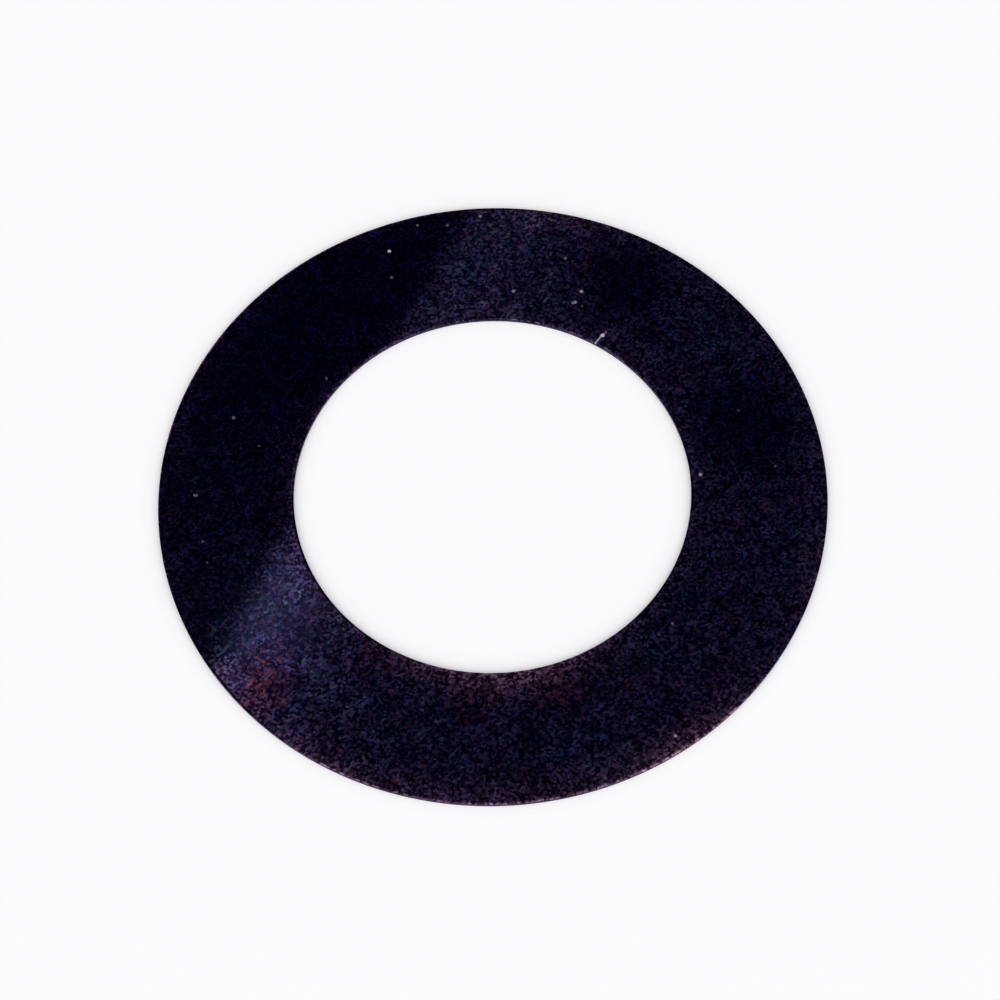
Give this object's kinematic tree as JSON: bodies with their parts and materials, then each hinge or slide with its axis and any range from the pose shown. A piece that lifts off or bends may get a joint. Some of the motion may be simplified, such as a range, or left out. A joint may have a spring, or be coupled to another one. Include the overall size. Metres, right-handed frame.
{
  "type": "shim washer",
  "caption": "Thin flat ring of dark blued steel with a round centre hole, slid over a shaft to take up end play or set a gap.",
  "frame": {"origin": "centre of the bore, level with the lower face that the ring rests on", "axes": "+Z along the bore axis, out of the face whose edges the die drew down; X and Y lie in the plane of the ring"},
  "size_m": [0.017, 0.017, 0.0002],
  "materials": {
    "blued_spring_steel": "hard rolled spring steel, heat-blued to a blue-black satin gloss, edges rubbed a little paler"
  },
  "bodies": {
    "root": {"shim_washer": "blued_spring_steel"}
  },
  "joints": []
}
